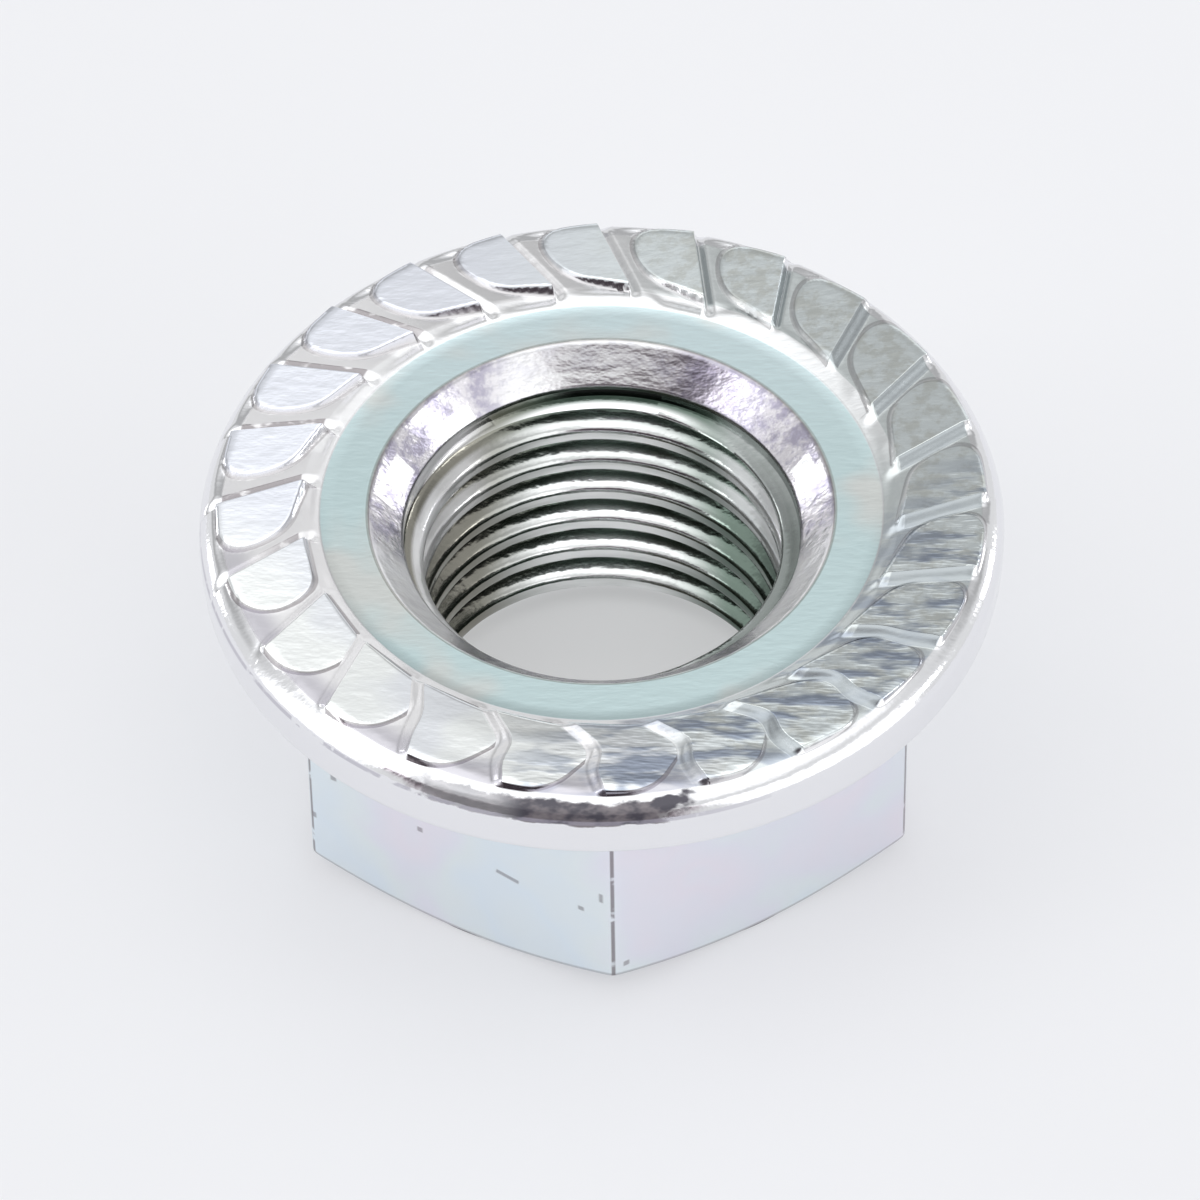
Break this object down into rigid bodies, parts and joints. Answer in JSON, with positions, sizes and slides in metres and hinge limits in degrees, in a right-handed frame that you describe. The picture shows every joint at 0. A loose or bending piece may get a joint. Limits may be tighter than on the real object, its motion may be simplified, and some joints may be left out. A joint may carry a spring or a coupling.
{
  "type": "serrated hexagon flange nut",
  "caption": "Hexagon nut with an integral round flange, a ring of swept ratchet serrations on its bearing face and a right-hand threaded hole.",
  "frame": {"origin": "centre of the hexagon's end face, on the thread's axis", "axes": "+Z along the thread from the hexagon's end face to the serrated bearing face; -Y through one corner of the hexagon; +X square to one pair of flats"},
  "size_m": [0.019, 0.019, 0.0084],
  "materials": {
    "zinc_plated_steel": "clear zinc plate, bright blue-white with a faint iridescence, over forged steel"
  },
  "bodies": {
    "root": {"flange_nut": "zinc_plated_steel"}
  },
  "joints": []
}
